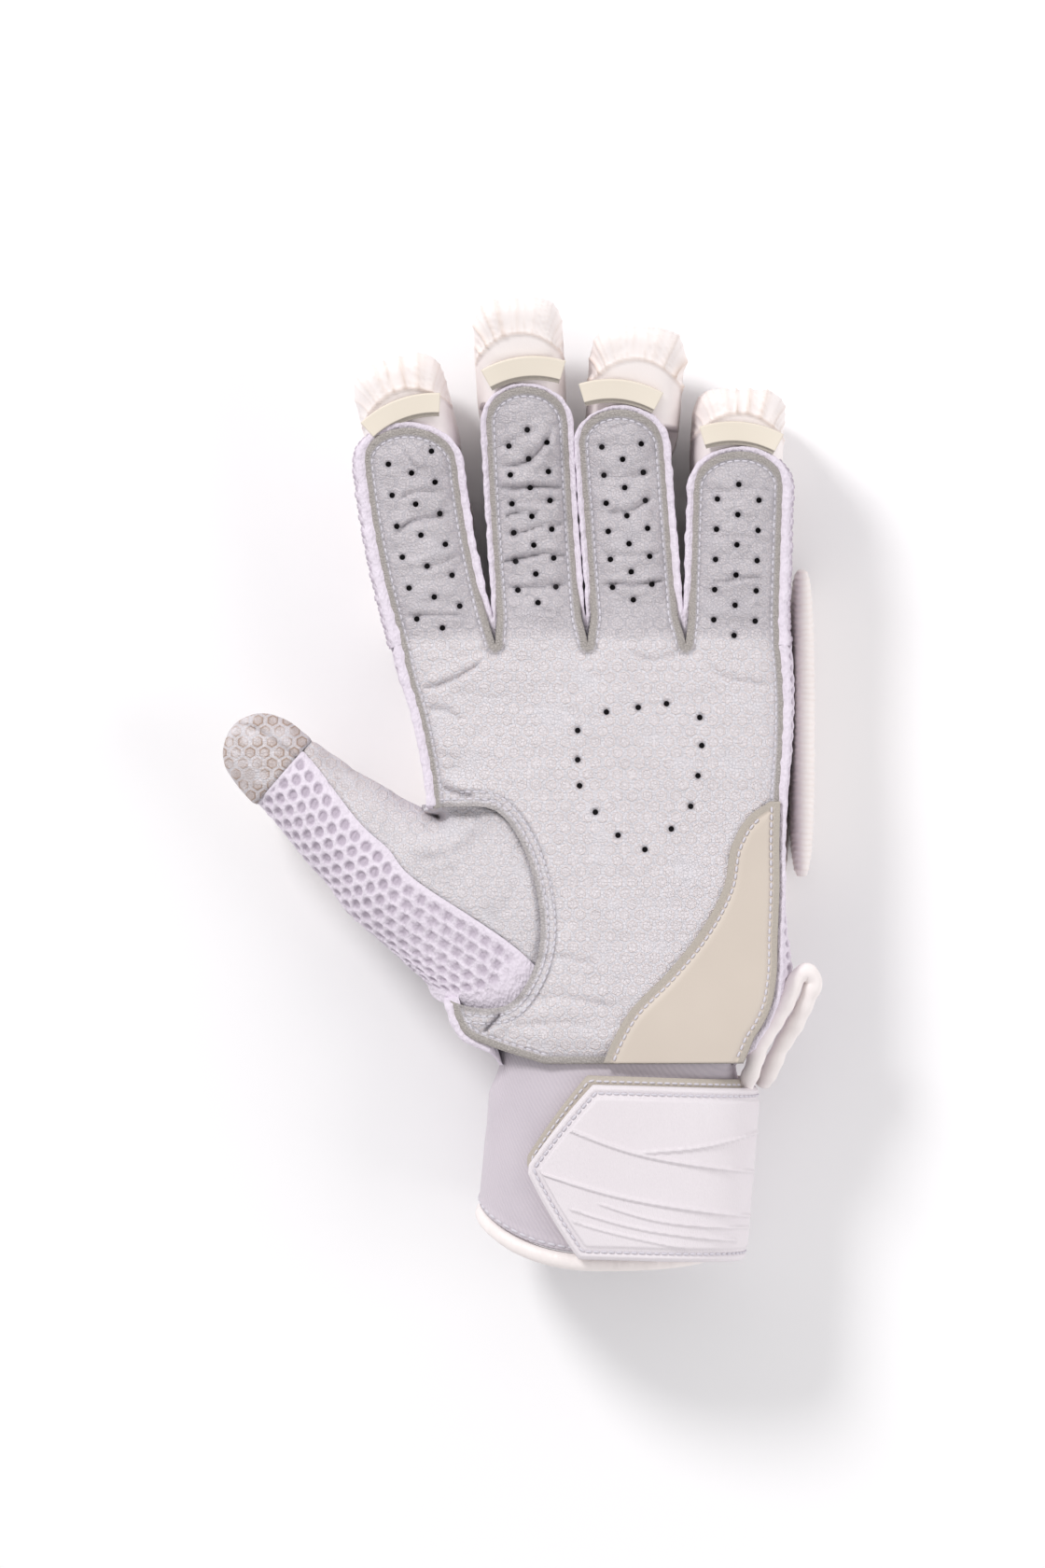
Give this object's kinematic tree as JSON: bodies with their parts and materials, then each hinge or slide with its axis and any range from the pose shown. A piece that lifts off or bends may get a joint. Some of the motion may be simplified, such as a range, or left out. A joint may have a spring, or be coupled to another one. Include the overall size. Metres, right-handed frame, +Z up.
{
  "type": "cricket batting glove",
  "caption": "Padded left-hand cricket batting glove: leather palm, mesh sides, stuffed finger rolls and caps, knitted cuff with closing strap.",
  "frame": {"origin": "on the ground under the middle of the glove's bounding box", "axes": "+X from the thumb to the little finger, +Y from the cuff to the fingertips, +Z up, out of the palm"},
  "size_m": [0.1664, 0.2702, 0.0568],
  "materials": {
    "palm_leather": "soft grained pale grey leather with a faint printed hexagon pattern",
    "white_leather": "smooth white leather, softly creased over stuffing",
    "mesh_fabric": "pale lavender-white spacer mesh",
    "cream_hide": "thin cream hide with a dull face",
    "knit": "fine knitted jersey, lavender grey",
    "strap_rubber": "moulded white panel with raised lines"
  },
  "bodies": {
    "root": {"palm_leather": "palm_leather", "hand_mesh": "mesh_fabric", "heel_patch": "cream_hide", "thumb_leather": "palm_leather", "thumb_mesh": "mesh_fabric", "thumb_tip": "palm_leather", "thumb_pad_1": "white_leather", "thumb_pad_2": "white_leather", "cuff": "knit", "cuff_binding": "white_leather", "strap_tape": "cream_hide", "strap": "strap_rubber", "wrist_piping": "white_leather", "side_roll": "white_leather", "wrist_roll": "white_leather", "hand_roll_1": "white_leather", "hand_roll_2": "white_leather", "hand_roll_3": "white_leather", "hand_roll_4": "white_leather", "index_mesh": "mesh_fabric", "index_cap": "white_leather", "index_tab": "cream_hide", "index_roll_1": "white_leather", "index_roll_2": "white_leather", "middle_mesh": "mesh_fabric", "middle_cap": "white_leather", "middle_tab": "cream_hide", "middle_roll_1": "white_leather", "middle_roll_2": "white_leather", "ring_mesh": "mesh_fabric", "ring_cap": "white_leather", "ring_tab": "cream_hide", "ring_roll_1": "white_leather", "ring_roll_2": "white_leather", "little_mesh": "mesh_fabric", "little_cap": "white_leather", "little_tab": "cream_hide", "little_roll_1": "white_leather", "little_roll_2": "white_leather"}
  },
  "joints": []
}
